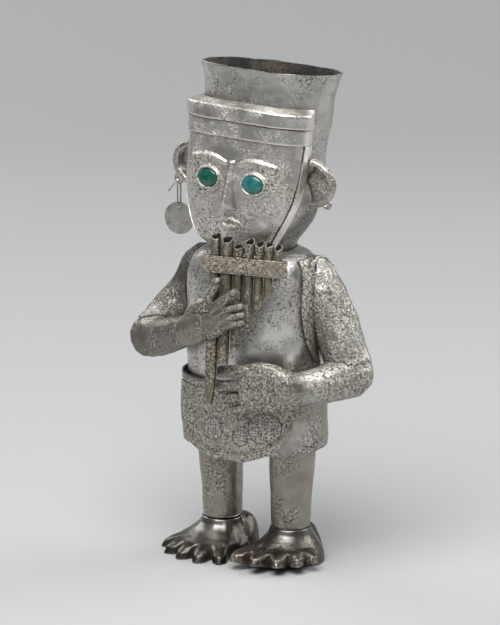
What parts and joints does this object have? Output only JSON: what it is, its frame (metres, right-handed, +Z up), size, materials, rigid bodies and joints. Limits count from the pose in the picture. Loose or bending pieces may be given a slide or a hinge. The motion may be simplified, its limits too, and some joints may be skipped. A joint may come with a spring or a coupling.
{
  "type": "figural vessel",
  "caption": "Hollow standing figure of a musician playing a panpipe; its open-topped head is the beaker's mouth. Hammered sheet metal with inlaid stone eyes and a swinging ear pendant.",
  "frame": {"origin": "on the ground under the middle of the whole figure's box", "axes": "+Z up through the neck to the mouth of the beaker, -Y the way the figure faces, +X the figure's left"},
  "size_m": [0.11, 0.0741, 0.2111],
  "materials": {
    "silver": "hammered silver, satin, darkened in the hollows",
    "worn_silver": "worn silver, duller",
    "tarnished_silver": "tan tarnished silver, nearly matt",
    "dark_silver": "dark silver, satin",
    "green_stone": "polished dark green stone",
    "blue_green_stone": "polished blue-green stone"
  },
  "bodies": {
    "figure": {"beaker_shell": "silver", "face_plate": "silver", "eye_inlay_left": "blue_green_stone", "eye_inlay_right": "green_stone", "headdress_lower_band": "silver", "headdress_upper_band": "silver", "chin_strap_left": "silver", "chin_strap_right": "silver", "ear_left": "silver", "ear_right": "silver", "torso_front": "silver", "torso_back": "silver", "torso_floor": "dark_silver", "skirt": "silver", "apron": "silver", "belt": "silver", "shoulder_strap": "worn_silver", "strap_tab": "worn_silver", "pipe_1": "tarnished_silver", "pipe_2": "tarnished_silver", "pipe_3": "tarnished_silver", "pipe_4": "tarnished_silver", "pipe_5": "tarnished_silver", "pipe_6": "tarnished_silver", "pipe_7": "tarnished_silver", "pipe_binding": "tarnished_silver", "sleeve_left": "silver", "sleeve_right": "silver", "forearm_left": "silver", "forearm_right": "silver", "hand_left": "worn_silver", "hand_right": "tarnished_silver", "leg_left": "silver", "leg_right": "silver", "foot_left": "dark_silver", "foot_right": "dark_silver", "heel_left": "dark_silver", "heel_right": "dark_silver"},
    "pendant_loop": {"pendant_wire": "worn_silver"},
    "pendant_plate": {"pendant_disc": "worn_silver"}
  },
  "joints": [
    {"name": "pendant_loop_swing", "type": "hinge", "parent": "figure", "child": "pendant_loop", "pos_m": [-0.0362, 0.00409, 0.15737], "axis": [1, 0, 0], "range_deg": [-60, 60]},
    {"name": "pendant_plate_swing", "type": "hinge", "parent": "pendant_loop", "child": "pendant_plate", "pos_m": [-0.0362, 0.00409, 0.14836], "axis": [1, 0, 0], "range_deg": [-40, 40]}
  ]
}
